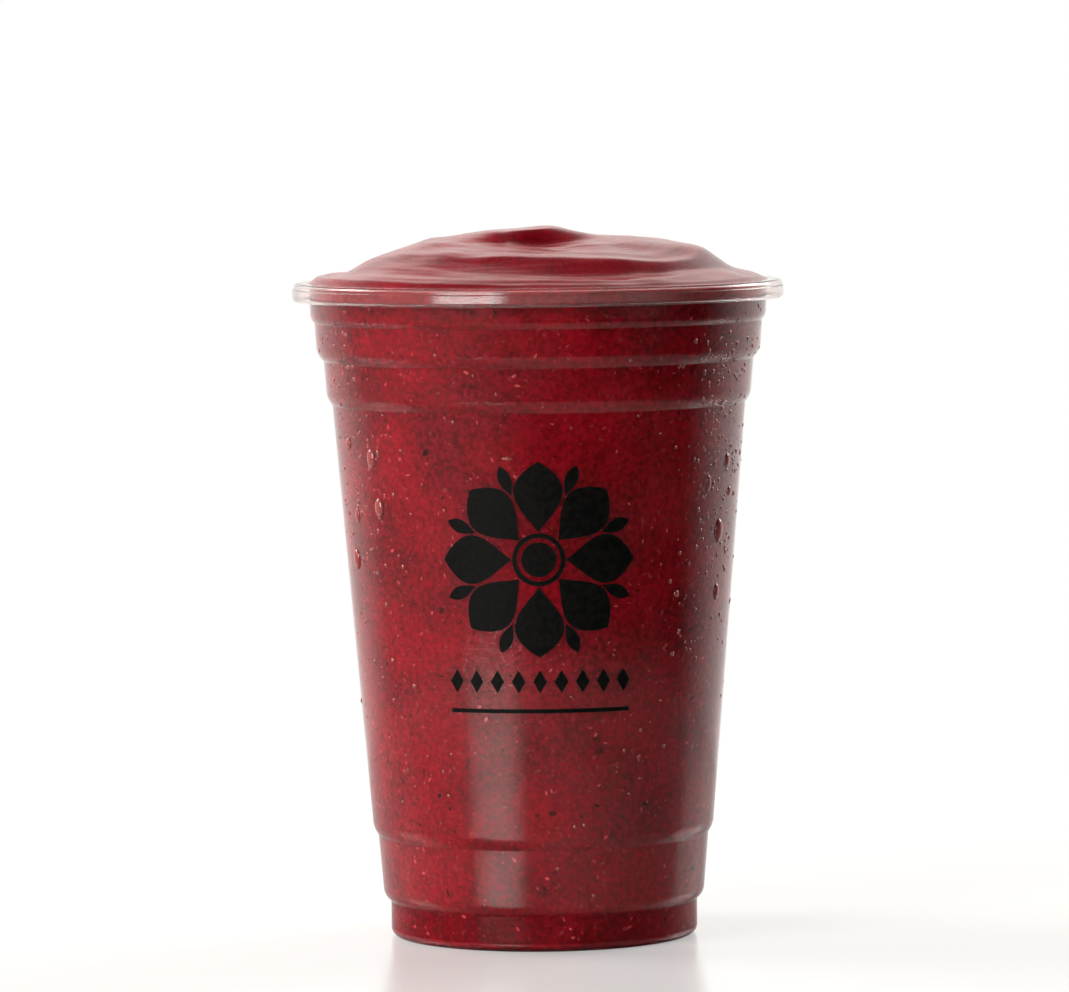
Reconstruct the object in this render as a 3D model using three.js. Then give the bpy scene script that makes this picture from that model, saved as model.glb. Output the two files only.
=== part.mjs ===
// A thick berry smoothie in a clear thermoformed plastic cup.
// The cup is a tapered, tiered shell with a rolled rim and a raised floor inside its foot.
// The drink fills it past the brim, and its top is folded into a soft swirl in two tiers with a low peak.
// Millimetres, +Z up. The origin is the centre of the ring that the foot stands on, and the front faces -Y.
import * as THREE from "three";

// Facets round the axis, and points on each round stretch of an outline.
const SEGMENTS = 56;
const SHOULDER_STEPS = 3;
const EDGE_STEPS = 2;

// The cup: its height, its rim and the thickness of its sheet.
const CUP_HEIGHT = 131;
const RIM_RADIUS = 49;
const RIM_DEPTH = 3.7;
const RIM_LEDGE_DROP = 1.25;
const RIM_LEDGE_WIDTH = 0.25;
const EDGE_ROUND = 0.8;
const LIP_ROUND = 1.2;
const CURL_END_RADIUS = 46.9;
const SHEET = 0.5;
const FLOOR_SHEET = 0.8;

// The tiers of the wall, from the collar under the rim down to the foot: the outer radius and the height
// of each tier's upper corner, and of the line where its shoulder starts to turn in to the tier below.
const TIERS = [
  { topRadius: 45.6, topHeight: 128.0, lowRadius: 45.5, lowHeight: 124.8 },
  { topRadius: 44.7, topHeight: 123.0, lowRadius: 44.4, lowHeight: 118.5 },
  { topRadius: 42.95, topHeight: 115.4, lowRadius: 42.45, lowHeight: 109.7 },
  { topRadius: 41.25, topHeight: 106.6, lowRadius: 34.2, lowHeight: 23.6 },
  { topRadius: 33.1, topHeight: 20.4, lowRadius: 32.2, lowHeight: 9.8 },
];
const FOOT_RADIUS = 30.7;
const FOOT_HEIGHT = 7.1;
const FOOT_ROUND = 1.6;
const FOOT_RING_INNER_RADIUS = 27.4;
const FLOOR_RADIUS = 25.6;
const FLOOR_RAISE = 2.6;

// The drink: how far it stays clear of the sheet, and the brim, where it leaves the rim's rounded inner lip.
const FILL_GAP = 0.3;
const BRIM_ROUND = LIP_ROUND + FILL_GAP;
const BRIM_TURN = THREE.MathUtils.degToRad(110);
const LIP_CENTRE = new THREE.Vector2(TIERS[0].topRadius - SHEET + LIP_ROUND, CUP_HEIGHT - LIP_ROUND);
const BRIM_RADIUS = LIP_CENTRE.x + BRIM_ROUND * Math.cos(BRIM_TURN);
const BRIM_HEIGHT = LIP_CENTRE.y + BRIM_ROUND * Math.sin(BRIM_TURN);
const BRIM_ROLL = 2.4;
const SWIRL_RINGS = 24;

// The heap over the brim: a sloping skirt, a step up to a domed terrace, and a smaller step up to the peak.
// Each size is given on the left, at the front, on the right and at the back, and changes smoothly between.
const SKIRT_SLOPE = { left: 0.225, front: 0.135, right: 0.33, back: 0.26 };
const BRIM_BEAD = { left: 0.7, front: 0, right: 0, back: 0.3 };
const STEP_RADIUS = { left: 27.5, front: 33, right: 35.5, back: 31.5 };
const STEP_WIDTH = { left: 12, front: 6.5, right: 8.5, back: 9 };
const TERRACE_HEIGHT = { left: 9.5, front: 7.25, right: 9.1, back: 9.1 };
const TERRACE_FALL = { left: 0.0033, front: 0.0023, right: 0.0026, back: 0.0026 };
const PEAK_STEP_RADIUS = { left: 15, front: 8.2, right: 8.5, back: 10.5 };
const PEAK_STEP_WIDTH = { left: 12, front: 4.8, right: 9.5, back: 9 };
const PEAK_HEIGHT = 10.65;
const PEAK_SLOPE = 0.115;
const PEAK_OFFSET = 1;
const PEAK_ROUND = 4;

// The step's edge waves in and out on its way round.
const STEP_WAVE = 0.9;
const STEP_WAVES = 3;
const STEP_WAVE_START = 0.6;

// Between the left and the front the step is wider and its skirt steeper, so the heap runs down softly there.
const SOFT_WIDENING = 9;
const SOFT_STEEPENING = 0.11;

// Between the front and the right the terrace sags towards its edge and the step is tighter, most of all at
// one angle from the front.
const SAG_DEPTH = 1.7;
const SAG_TIGHTENING = 3.2;
const SAG_ANGLE = THREE.MathUtils.degToRad(55);
const SAG_NARROWNESS = 10;
const SAG_START = 15;
const SAG_END = 34;

const cupMaterial = new THREE.MeshStandardMaterial({
  name: "clear_plastic",
  color: 0xeef1f2,
  roughness: 0.08,
  metalness: 0,
  transparent: true,
  opacity: 0.3,
});
const smoothieMaterial = new THREE.MeshStandardMaterial({
  name: "berry_smoothie",
  color: 0x7d1a22,
  roughness: 0.4,
  metalness: 0,
});

// Points along a part of a circle between two angles.
function arc(centreRadius, centreHeight, radius, start, end, steps) {
  const clockwise = end < start;
  const curve = new THREE.EllipseCurve(centreRadius, centreHeight, radius, radius, start, end, clockwise);
  return curve.getPoints(steps);
}

// The arc that leaves an upright wall at one point and turns in and down to another, without its first point.
function shoulder(from, to) {
  const inward = from.x - to.x;
  const down = from.y - to.y;
  const radius = (inward * inward + down * down) / (2 * inward);
  const turn = Math.atan2(down, radius - inward);
  return arc(from.x - radius, from.y, radius, 0, -turn, SHOULDER_STEPS).slice(1);
}

// The wall from under the rim down to the foot's upper corner, moved in by a distance.
function wallOutline(inset) {
  const points = [];
  TIERS.forEach((tier, i) => {
    const below = TIERS[i + 1] ?? { topRadius: FOOT_RADIUS, topHeight: FOOT_HEIGHT };
    const low = new THREE.Vector2(tier.lowRadius - inset, tier.lowHeight);
    const corner = new THREE.Vector2(below.topRadius - inset, below.topHeight);
    if (i === 0) points.push(new THREE.Vector2(tier.topRadius - inset, tier.topHeight));
    points.push(low, ...shoulder(low, corner));
  });
  return points;
}

// The rolled rim, from the wall's outer face round the curl's free end and over the top to the inner face.
function rimOutline() {
  const collar = TIERS[0];
  const rimFoot = CUP_HEIGHT - RIM_DEPTH;
  const ledgeHeight = CUP_HEIGHT - RIM_LEDGE_DROP;
  const beadRadius = RIM_RADIUS - RIM_LEDGE_WIDTH;
  const curlInside = beadRadius - SHEET;
  const flangeUnderside = CUP_HEIGHT - SHEET;
  const hollowRound = EDGE_ROUND - SHEET;
  return [
    new THREE.Vector2(collar.topRadius, LIP_CENTRE.y),
    new THREE.Vector2(LIP_CENTRE.x, flangeUnderside),
    new THREE.Vector2(curlInside - hollowRound, flangeUnderside),
    new THREE.Vector2(curlInside, flangeUnderside - hollowRound),
    new THREE.Vector2(curlInside, rimFoot + SHEET + hollowRound),
    new THREE.Vector2(curlInside - hollowRound, rimFoot + SHEET),
    new THREE.Vector2(CURL_END_RADIUS, rimFoot + SHEET),
    new THREE.Vector2(CURL_END_RADIUS, rimFoot),
    ...arc(RIM_RADIUS - EDGE_ROUND, rimFoot + EDGE_ROUND, EDGE_ROUND, -Math.PI / 2, 0, EDGE_STEPS),
    new THREE.Vector2(RIM_RADIUS, ledgeHeight),
    new THREE.Vector2(beadRadius, ledgeHeight),
    ...arc(beadRadius - EDGE_ROUND, CUP_HEIGHT - EDGE_ROUND, EDGE_ROUND, 0, Math.PI / 2, EDGE_STEPS),
    ...arc(LIP_CENTRE.x, LIP_CENTRE.y, LIP_ROUND, Math.PI / 2, Math.PI, EDGE_STEPS),
  ];
}

// The raised floor, the ring that the foot stands on and the foot's rounded corner, from the axis outwards.
function undersideOutline() {
  return [
    new THREE.Vector2(0, FLOOR_RAISE),
    new THREE.Vector2(FLOOR_RADIUS, FLOOR_RAISE),
    new THREE.Vector2(FOOT_RING_INNER_RADIUS, 0),
    ...arc(FOOT_RADIUS - FOOT_ROUND, FOOT_ROUND, FOOT_ROUND, -Math.PI / 2, 0, EDGE_STEPS),
  ];
}

// The inside of the foot, from the axis outwards: the raised floor, the slope down into the ring's channel,
// and the channel's rounded corner. It is moved in from the cup's inner face by a distance.
function floorOutline(inset) {
  const sheet = FLOOR_SHEET + inset;
  const slopeRun = FOOT_RING_INNER_RADIUS - FLOOR_RADIUS;
  const shift = (sheet * (Math.hypot(slopeRun, FLOOR_RAISE) - slopeRun)) / FLOOR_RAISE;
  const foot = FOOT_RADIUS - SHEET - inset;
  const cornerRound = FOOT_ROUND - SHEET - inset;
  return [
    new THREE.Vector2(0, FLOOR_RAISE + sheet),
    new THREE.Vector2(FLOOR_RADIUS + shift, FLOOR_RAISE + sheet),
    new THREE.Vector2(FOOT_RING_INNER_RADIUS + shift, sheet),
    new THREE.Vector2(foot - cornerRound, sheet),
    new THREE.Vector2(foot, sheet + cornerRound),
  ];
}

function turned(profile) {
  const geometry = new THREE.LatheGeometry(profile, SEGMENTS);
  geometry.rotateX(Math.PI / 2);
  return geometry;
}

function makeCup() {
  const profile = [
    ...undersideOutline(),
    ...wallOutline(0).reverse(),
    ...rimOutline(),
    ...wallOutline(SHEET),
    ...floorOutline(0).reverse(),
  ];
  const cup = new THREE.Mesh(turned(profile), cupMaterial);
  cup.name = "cup";
  return cup;
}

// A size on its way round the heap, in the direction of a unit vector.
function around(size, across, back) {
  const mean = (size.left + size.right + size.front + size.back) / 4;
  const sides = ((size.right - size.left) / 2) * across;
  const depth = ((size.back - size.front) / 2) * back;
  const oval = (size.left + size.right - size.front - size.back) / 4;
  return mean + sides + depth + oval * (across * across - back * back);
}

// How much of a step's rise is done at a distance from the axis.
function risen(r, radius, width) {
  return 1 - THREE.MathUtils.smoothstep(r, radius - width / 2, radius + width / 2);
}

// How far the heap's surface stands over the brim.
function swirlHeight(x, y) {
  const { lerp, smoothstep } = THREE.MathUtils;
  const r = Math.hypot(x, y);
  const direction = new THREE.Vector2(x, y).normalize();
  const at = (size) => around(size, direction.x, direction.y);
  const soft = Math.max(0, -(direction.x + direction.y) / Math.SQRT2) ** 2;
  const wave = STEP_WAVE * Math.sin(STEP_WAVES * Math.atan2(y, x) + STEP_WAVE_START);
  const bead = at(BRIM_BEAD) * smoothstep(BRIM_RADIUS - r, 0, BRIM_ROLL);
  const skirt = bead + (at(SKIRT_SLOPE) + SOFT_STEEPENING * soft) * (BRIM_RADIUS - r);
  const facing = Math.max(0, direction.x * Math.sin(SAG_ANGLE) - direction.y * Math.cos(SAG_ANGLE));
  const sagging = facing ** SAG_NARROWNESS;
  const sag = SAG_DEPTH * sagging * smoothstep(r, SAG_START, SAG_END);
  const terrace = at(TERRACE_HEIGHT) - at(TERRACE_FALL) * r * r - sag;
  const peak = PEAK_HEIGHT - PEAK_SLOPE * (Math.hypot(x - PEAK_OFFSET, y, PEAK_ROUND) - PEAK_ROUND);
  const onPeak = risen(r, at(PEAK_STEP_RADIUS), at(PEAK_STEP_WIDTH));
  const stepWidth = at(STEP_WIDTH) + SOFT_WIDENING * soft - SAG_TIGHTENING * sagging;
  const onTerrace = risen(r, at(STEP_RADIUS) + wave, stepWidth);
  return lerp(skirt, lerp(terrace, peak, onPeak), onTerrace);
}

// The drink's outline under the brim, and level rings over it that the swirl then lifts.
function makeSmoothie() {
  const wall = wallOutline(SHEET + FILL_GAP).reverse();
  const lip = arc(LIP_CENTRE.x, LIP_CENTRE.y, BRIM_ROUND, Math.PI, BRIM_TURN, EDGE_STEPS);
  const profile = [...floorOutline(FILL_GAP), ...wall, ...lip];
  for (let ring = 1; ring <= SWIRL_RINGS; ring += 1) {
    profile.push(new THREE.Vector2(BRIM_RADIUS * (1 - ring / SWIRL_RINGS), BRIM_HEIGHT));
  }
  const geometry = turned(profile);
  const position = geometry.getAttribute("position");
  for (let i = 0; i < position.count; i += 1) {
    const onTop = Math.abs(position.getZ(i) - BRIM_HEIGHT) < FILL_GAP / 2;
    if (onTop) position.setZ(i, BRIM_HEIGHT + swirlHeight(position.getX(i), position.getY(i)));
  }
  geometry.computeVertexNormals();
  const smoothie = new THREE.Mesh(geometry, smoothieMaterial);
  smoothie.name = "smoothie";
  return smoothie;
}

const berrySmoothie = new THREE.Group();
berrySmoothie.name = "berry_smoothie";
berrySmoothie.add(makeCup(), makeSmoothie());

export default berrySmoothie;
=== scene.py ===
"""A thick berry smoothie in a clear plastic cup, dressed for a picture in a pale studio.

The cup is a tapered, tiered shell with a rolled rim. The drink fills it past the brim and is heaped into a
soft folded swirl. Fine drops of dew sit on the wall, scraps of berry skin show through it, and a plain
rosette is printed on its front. Sizes are in millimetres and become metres when a piece is finished.
"""
import logging
import math
import random
from collections.abc import Callable
from dataclasses import dataclass, field
from enum import Enum
from functools import cached_property

import bmesh
import bpy
from mathutils import Matrix, Vector, noise


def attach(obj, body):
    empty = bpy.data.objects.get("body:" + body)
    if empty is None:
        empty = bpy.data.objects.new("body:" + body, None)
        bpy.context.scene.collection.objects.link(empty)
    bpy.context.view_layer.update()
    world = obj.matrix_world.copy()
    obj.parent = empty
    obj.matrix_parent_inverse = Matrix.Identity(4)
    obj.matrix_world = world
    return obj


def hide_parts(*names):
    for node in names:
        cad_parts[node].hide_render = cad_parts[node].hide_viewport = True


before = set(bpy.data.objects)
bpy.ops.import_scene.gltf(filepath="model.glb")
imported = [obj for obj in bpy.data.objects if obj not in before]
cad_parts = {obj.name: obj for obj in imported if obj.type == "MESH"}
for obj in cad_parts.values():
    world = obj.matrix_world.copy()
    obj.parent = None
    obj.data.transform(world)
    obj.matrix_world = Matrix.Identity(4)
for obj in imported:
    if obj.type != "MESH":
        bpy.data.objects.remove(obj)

MM = 0.001
FULL_TURN = 2.0 * math.pi
MERGE_DISTANCE = 1.0e-4
CREASE = math.radians(60.0)
CORNER_SHARE = 0.45
QUARTER_DEGREES = 90.0
ROOT_BODY = "root"

Mesh = bmesh.types.BMesh
Piece = bpy.types.Object
Material = bpy.types.Material
Socket = bpy.types.NodeSocket
Colour = tuple[float, float, float, float]
# The ends of a range, and what they become where that is not 0 and 1.
Ramp = tuple[float, ...]
# Turns a place on a square into a place on the unrolled wall.
Form = Callable[[float, float], Vector]

WHITE: Colour = (1.0, 1.0, 1.0, 1.0)

log = logging.getLogger("berry_smoothie")


class Slot(Enum):
    """The record's material slots."""

    CLEAR_PLASTIC = "clear_plastic"
    BERRY_SMOOTHIE = "berry_smoothie"


class Node(Enum):
    """The solids that pieces of the scene stand for."""

    CUP = "cup"
    SMOOTHIE = "smoothie"


def smoothstep(value: float, low: float, high: float) -> float:
    """Returns a share that rises smoothly from 0 to 1 as a value goes from low to high."""
    share = min(max((value - low) / (high - low), 0.0), 1.0)
    return share * share * (3.0 - 2.0 * share)


def mix(first: float, second: float, share: float) -> float:
    """Returns the value that lies a share of the way from the first to the second."""
    return first + (second - first) * share


def arc(centre: Vector, radius: float, start: float, end: float, steps: int) -> list[Vector]:
    """Returns the points of an arc between two angles, as distances from the axis and heights."""
    angles = [mix(start, end, i / steps) for i in range(steps + 1)]
    return [centre + radius * Vector((math.cos(a), math.sin(a))) for a in angles]


def softened(points: list[Vector], rounding: float, sharp: float, steps: int) -> list[Vector]:
    """Rounds the sharp corners of an outline.

    Args:
        points: The outline.
        rounding: The radius of the rounded corners, less where the outline has no room for it.
        sharp: The turn in radians from which a corner is rounded.
        steps: The number of stretches on each rounded corner.

    Returns:
        The outline with its sharp corners rounded.
    """
    rounded = [points[0]]
    for before, corner, after in zip(points, points[1:], points[2:]):
        back, ahead = before - corner, after - corner
        turn = math.pi - back.angle(ahead, math.pi)
        if turn < sharp:
            rounded.append(corner)
            continue
        reach = min(rounding * math.tan(turn / 2.0), CORNER_SHARE * back.length, CORNER_SHARE * ahead.length)
        first, last = corner + reach * back.normalized(), corner + reach * ahead.normalized()
        for i in range(steps + 1):
            t = i / steps
            rounded.append((1 - t) ** 2 * first + 2 * t * (1 - t) * corner + t ** 2 * last)
    return rounded + [points[-1]]


def braced(points: list[Vector], margin: float) -> list[Vector]:
    """Adds points close to the ends of an outline's long stretches, so that they stay flat when shaded.

    Args:
        points: The outline.
        margin: How far from the ends the points lie.

    Returns:
        The outline with the added points.
    """
    dense = []
    for start, end in zip(points, points[1:]):
        dense.append(start)
        step = end - start
        if step.length > 4.0 * margin:
            dense += [start + margin * step.normalized(), end - margin * step.normalized()]
    return dense + [points[-1]]


def turned(outline: list[Vector], steps: int) -> Mesh:
    """Spins an outline a full turn about the upright axis.

    Args:
        outline: Distances from the axis and heights, from axis to axis.
        steps: The number of stretches round the axis.

    Returns:
        A closed mesh with its poles merged and its faces pointing out.
    """
    shell = bmesh.new()
    verts = [shell.verts.new((point.x, 0.0, point.y)) for point in outline]
    edges = [shell.edges.new(pair) for pair in zip(verts, verts[1:])]
    bmesh.ops.spin(
        shell,
        geom=verts + edges,
        cent=(0, 0, 0),
        axis=(0, 0, 1),
        angle=FULL_TURN,
        steps=steps,
        use_merge=True,
    )
    bmesh.ops.remove_doubles(shell, verts=shell.verts, dist=MERGE_DISTANCE)
    bmesh.ops.recalc_face_normals(shell, faces=shell.faces)
    return shell


def finished(shape: Mesh, name: str, slot: Slot, *materials: Material) -> Piece:
    """Makes a mesh in millimetres a smooth piece in metres that rides on the part.

    Args:
        shape: The mesh, which is freed.
        name: The piece's name.
        slot: The record's slot that its finish belongs to; not used.
        materials: Its materials, in the order of its faces' material numbers.

    Returns:
        The piece.
    """
    bmesh.ops.scale(shape, vec=(MM, MM, MM), verts=shape.verts)
    for face in shape.faces:
        face.smooth = True
    for edge in shape.edges:
        edge.smooth = edge.calc_face_angle(0.0) < CREASE
    mesh = bpy.data.meshes.new(name)
    shape.to_mesh(mesh)
    shape.free()
    for material in materials:
        mesh.materials.append(material)
    piece = bpy.data.objects.new(name, mesh)
    bpy.context.collection.objects.link(piece)
    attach(piece, ROOT_BODY)
    log.info("%s: %d faces", name, len(mesh.polygons))
    return piece


def repeated(shape: Mesh, places: list[Matrix]) -> Mesh:
    """Joins copies of a small shape.

    Args:
        shape: The shape, which is freed.
        places: Each copy's place, turn and size.

    Returns:
        One mesh of all the copies.
    """
    pattern = bpy.data.meshes.new("pattern")
    shape.to_mesh(pattern)
    shape.free()
    joined = bmesh.new()
    for place in places:
        copy = pattern.copy()
        copy.transform(place)
        joined.from_mesh(copy)
        bpy.data.meshes.remove(copy)
    bpy.data.meshes.remove(pattern)
    return joined


class NodeGraph:
    """A node tree with short calls that add nodes and join them."""

    def __init__(self, tree: bpy.types.NodeTree) -> None:
        """Clears a tree and keeps it.

        Args:
            tree: The tree of a material or of the world.
        """
        tree.nodes.clear()
        self.tree = tree

    def add(self, kind: str, **inputs: object) -> bpy.types.Node:
        """Adds a node and sets its inputs.

        Args:
            kind: The node's type name.
            inputs: Values or sockets by input name, with _ for a space.

        Returns:
            The node.
        """
        node = self.tree.nodes.new(kind)
        for name, value in inputs.items():
            self.feed(node.inputs[name.replace("_", " ")], value)
        return node

    def feed(self, target: Socket, value: object) -> None:
        """Sets an input to a value, or joins it to a socket."""
        if isinstance(value, Socket):
            self.tree.links.new(value, target)
        else:
            target.default_value = value

    def place(self) -> Socket:
        """Returns the place on the piece, in its own coordinates."""
        return self.add("ShaderNodeTexCoord").outputs["Object"]

    def noise(self, vector: Socket, scale: float, detail: float = 2.0) -> Socket:
        """Returns the strength of a cloudy pattern, about 0.5 on average, with so many clouds in a metre."""
        return self.add("ShaderNodeTexNoise", Vector=vector, Scale=scale, Detail=detail).outputs["Fac"]

    def spread(
        self, value: Socket, low: float, high: float, to_low: float = 0.0, to_high: float = 1.0
    ) -> Socket:
        """Stretches one range of a value smoothly over another.

        Args:
            value: The value.
            low: The range's lower end.
            high: The range's upper end.
            to_low: What the lower end becomes.
            to_high: What the upper end becomes.

        Returns:
            The stretched value.
        """
        node = self.add("ShaderNodeMapRange", Value=value)
        node.interpolation_type = "SMOOTHSTEP"
        for name, end in (("From Min", low), ("From Max", high), ("To Min", to_low), ("To Max", to_high)):
            node.inputs[name].default_value = end
        return node.outputs["Result"]

    def blend(self, share: object, first: object, second: object) -> Socket:
        """Returns the colour that lies a share of the way from the first to the second."""
        node = self.tree.nodes.new("ShaderNodeMix")
        node.data_type = "RGBA"
        for name, value in (("Factor_Float", share), ("A_Color", first), ("B_Color", second)):
            self.feed(next(s for s in node.inputs if s.identifier == name), value)
        return next(s for s in node.outputs if s.identifier == "Result_Color")

    def join(self, kind: str, *values: object) -> Socket:
        """Returns the first output of a new node whose inputs get values or sockets in order.

        Args:
            kind: The node's type name.
            values: What its first inputs get.

        Returns:
            The output.
        """
        node = self.tree.nodes.new(kind)
        for target, value in zip(node.inputs, values):
            self.feed(target, value)
        return node.outputs[0]

    def maths(self, operation: str, first: object, second: object) -> Socket:
        """Returns the result of a sum on two values."""
        result = self.join("ShaderNodeMath", first, second)
        result.node.operation = operation
        return result

    def principled(self, **inputs: object) -> Socket:
        """Returns a surface's shader with its inputs set, by name as for any node."""
        return self.add("ShaderNodeBsdfPrincipled", **inputs).outputs["BSDF"]

    def bump(self, height: Socket, strength: float, depth: float) -> Socket:
        """Returns the surface's direction over small bumps, the highest of which is so many metres high."""
        return self.add("ShaderNodeBump", Height=height, Strength=strength, Distance=depth).outputs["Normal"]

    def show(self, shader: Socket, output: str = "ShaderNodeOutputMaterial") -> None:
        """Joins a shader to the tree's output."""
        self.add(output, Surface=shader)


@dataclass(frozen=True)
class Finish:
    """A look that makes a material of its own name."""

    name: str

    def shader(self, graph: NodeGraph) -> Socket:
        """Returns the surface's shader, which each kind of finish makes in its own way."""
        raise NotImplementedError

    def material(self) -> Material:
        """Makes the material.

        Returns:
            The material.
        """
        material = bpy.data.materials.new(self.name)
        material.use_nodes = True
        graph = NodeGraph(material.node_tree)
        graph.show(self.shader(graph))
        return material


@dataclass(frozen=True)
class ClearPlasticFinish(Finish):
    """Clear, glossy sheet with an even veil and a breath of fog on it."""

    name: str = "clear_plastic"
    colour: Colour = (0.97, 0.975, 0.98, 1.0)
    ior: float = 1.45
    clear_roughness: float = 0.05
    fogged_roughness: float = 0.14
    fog_scale: float = 38.0
    fog_detail: float = 4.0
    fog_ramp: Ramp = (0.46, 0.66)
    fog_whiteness: float = 0.01
    mist_scale: float = 1100.0
    mist_detail: float = 1.0
    mist_ramp: Ramp = (0.4, 0.62, 0.4, 1.0)
    veil: float = 0.0

    def shader(self, graph: NodeGraph) -> Socket:
        """Makes the shader.

        Args:
            graph: The material's nodes.

        Returns:
            The shader.
        """
        place = graph.place()
        fog = graph.spread(graph.noise(place, self.fog_scale, self.fog_detail), *self.fog_ramp)
        roughness = graph.spread(fog, 0.0, 1.0, self.clear_roughness, self.fogged_roughness)
        mist = graph.spread(graph.noise(place, self.mist_scale, self.mist_detail), *self.mist_ramp)
        fogged = graph.maths("MULTIPLY", graph.maths("MULTIPLY", fog, mist), self.fog_whiteness)
        clear = graph.maths("SUBTRACT", 1.0 - self.veil, fogged)
        return graph.principled(
            Base_Color=self.colour, Roughness=roughness, IOR=self.ior, Transmission_Weight=clear
        )


@dataclass(frozen=True)
class DewPaintedRedFinish(Finish):
    """Water in drops, whose colour paints the red of the drink seen through them and the light they gather
    onto it.
    """

    name: str = "dew"
    # Painted refraction: the drink's red seen through the drop, lightened for the light it gathers.
    colour: Colour = (0.50, 0.09, 0.085, 1.0)
    clearness: float = 0.35
    roughness: float = 0.1
    shine: float = 0.7
    haze_scale: float = 500.0
    haze_range: Ramp = (0.3, 0.7)

    def shader(self, graph: NodeGraph) -> Socket:
        """Makes the shader.

        Args:
            graph: The material's nodes.

        Returns:
            The shader.
        """
        haze = graph.noise(graph.place(), self.haze_scale)
        return graph.principled(
            Base_Color=self.colour,
            Roughness=graph.spread(haze, *self.haze_range, 0.0, self.roughness),
            Transmission_Weight=self.clearness,
            Specular_IOR_Level=self.shine,
        )


@dataclass(frozen=True)
class MottledFinish(Finish):
    """A matt finish that wanders between two colours, as ink and scraps of fruit do."""

    first: Colour
    second: Colour
    scale: float = 260.0
    roughness: float = 0.5
    shine: float = 0.05
    roughness_spread: float = 0.08
    patch_ramp: Ramp = (0.4, 0.6)

    def shader(self, graph: NodeGraph) -> Socket:
        """Makes the shader.

        Args:
            graph: The material's nodes.

        Returns:
            The shader.
        """
        patches = graph.spread(graph.noise(graph.place(), self.scale), *self.patch_ramp)
        smooth, rough = self.roughness - self.roughness_spread, self.roughness + self.roughness_spread
        return graph.principled(
            Base_Color=graph.blend(patches, self.first, self.second),
            Roughness=graph.spread(patches, 0.0, 1.0, smooth, rough),
            Specular_IOR_Level=self.shine,
        )


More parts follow.
